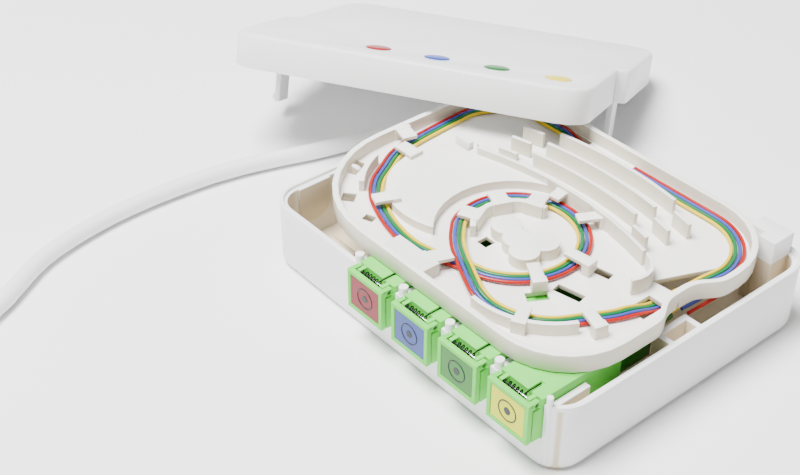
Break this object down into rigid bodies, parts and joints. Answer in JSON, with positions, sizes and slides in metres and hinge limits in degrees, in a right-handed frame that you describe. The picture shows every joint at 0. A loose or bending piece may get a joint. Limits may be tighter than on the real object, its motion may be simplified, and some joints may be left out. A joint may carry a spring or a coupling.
{
  "type": "fiber termination box",
  "caption": "Open fibre wall box with shuttered green adapters in its front edge, a hinged splice tray of coloured fibres, a loose cover with colour dots and a white feed cable.",
  "frame": {"origin": "centre of the base's flat underside, which is the face that goes on the wall", "axes": "+Z out of the wall, away from the underside; -Y towards the adapters' side; +X to the right for someone facing the adapters"},
  "size_m": [0.1912, 0.2759, 0.0398],
  "materials": {
    "white_abs": "satin moulded white plastic",
    "tray_white": "satin moulded warm white plastic",
    "adapter_green": "satin moulded bright green plastic",
    "spring_steel": "bare spring steel",
    "zirconia": "ground white ceramic",
    "cable_jacket": "matt extruded jacket",
    "panel_red": "red printed plastic",
    "fibre_red": "smooth red fibre buffer",
    "panel_blue": "blue printed plastic",
    "fibre_blue": "smooth blue fibre buffer",
    "panel_green": "green printed plastic",
    "fibre_green": "smooth green fibre buffer",
    "panel_yellow": "yellow printed plastic",
    "fibre_yellow": "smooth yellow fibre buffer"
  },
  "bodies": {
    "base": {"base_box": "white_abs", "adapter_1_body": "adapter_green", "adapter_1_hinge_pin": "spring_steel", "adapter_1_spring": "spring_steel", "adapter_1_sleeve": "zirconia", "plug_1_body": "adapter_green", "plug_1_ferrule": "zirconia", "plug_1_boot": "adapter_green", "pigtail_1_red": "fibre_red", "adapter_2_body": "adapter_green", "adapter_2_hinge_pin": "spring_steel", "adapter_2_spring": "spring_steel", "adapter_2_sleeve": "zirconia", "plug_2_body": "adapter_green", "plug_2_ferrule": "zirconia", "plug_2_boot": "adapter_green", "pigtail_2_blue": "fibre_blue", "adapter_3_body": "adapter_green", "adapter_3_hinge_pin": "spring_steel", "adapter_3_spring": "spring_steel", "adapter_3_sleeve": "zirconia", "plug_3_body": "adapter_green", "plug_3_ferrule": "zirconia", "plug_3_boot": "adapter_green", "pigtail_3_green": "fibre_green", "adapter_4_body": "adapter_green", "adapter_4_hinge_pin": "spring_steel", "adapter_4_spring": "spring_steel", "adapter_4_sleeve": "zirconia", "plug_4_body": "adapter_green", "plug_4_ferrule": "zirconia", "plug_4_boot": "adapter_green", "pigtail_4_yellow": "fibre_yellow", "cable_run": "cable_jacket", "cable_end_inside": "cable_jacket", "cable_clamp": "white_abs", "clamp_screw_front": "spring_steel", "clamp_screw_back": "spring_steel", "fibre_sleeve": "cable_jacket", "cable_coil": "cable_jacket", "coil_tie": "white_abs"},
    "shutter_1": {"shutter_1_flap": "adapter_green", "shutter_1_panel_red": "panel_red"},
    "shutter_2": {"shutter_2_flap": "adapter_green", "shutter_2_panel_blue": "panel_blue"},
    "shutter_3": {"shutter_3_flap": "adapter_green", "shutter_3_panel_green": "panel_green"},
    "shutter_4": {"shutter_4_flap": "adapter_green", "shutter_4_panel_yellow": "panel_yellow"},
    "tray": {"splice_tray": "tray_white", "tray_fibre_1_red": "fibre_red", "tray_fibre_2_blue": "fibre_blue", "tray_fibre_3_green": "fibre_green", "tray_fibre_4_yellow": "fibre_yellow"},
    "cover": {"cover": "white_abs", "cover_dot_1_red": "panel_red", "cover_dot_2_blue": "panel_blue", "cover_dot_3_green": "panel_green", "cover_dot_4_yellow": "panel_yellow"}
  },
  "joints": [
    {"name": "shutter_1_hinge", "type": "hinge", "parent": "base", "child": "shutter_1", "pos_m": [-0.0081, -0.045, 0.02], "axis": [-1, 0, 0], "range_deg": [0, 100], "stiffness_Nm_per_rad": 0.0004, "springref_deg": -20.05},
    {"name": "shutter_2_hinge", "type": "hinge", "parent": "base", "child": "shutter_2", "pos_m": [0.0084, -0.045, 0.02], "axis": [-1, 0, 0], "range_deg": [0, 100], "stiffness_Nm_per_rad": 0.0004, "springref_deg": -20.05},
    {"name": "shutter_3_hinge", "type": "hinge", "parent": "base", "child": "shutter_3", "pos_m": [0.0249, -0.045, 0.02], "axis": [-1, 0, 0], "range_deg": [0, 100], "stiffness_Nm_per_rad": 0.0004, "springref_deg": -20.05},
    {"name": "shutter_4_hinge", "type": "hinge", "parent": "base", "child": "shutter_4", "pos_m": [0.0414, -0.045, 0.02], "axis": [-1, 0, 0], "range_deg": [0, 100], "stiffness_Nm_per_rad": 0.0004, "springref_deg": -20.05},
    {"name": "tray_flip", "type": "hinge", "parent": "base", "child": "tray", "pos_m": [0, 0.039, 0.0224], "axis": [-1, 0, 0], "range_deg": [0, 95]},
    {"name": "cover_slide", "type": "slide", "parent": "base", "child": "cover", "axis": [-0.4343, 0.7819, 0.4472], "range_m": [0, 0.07]}
  ],
  "couplings": [
    {"joint": "cover_slide", "follows": "tray_flip", "m_per_rad": 0.042}
  ]
}
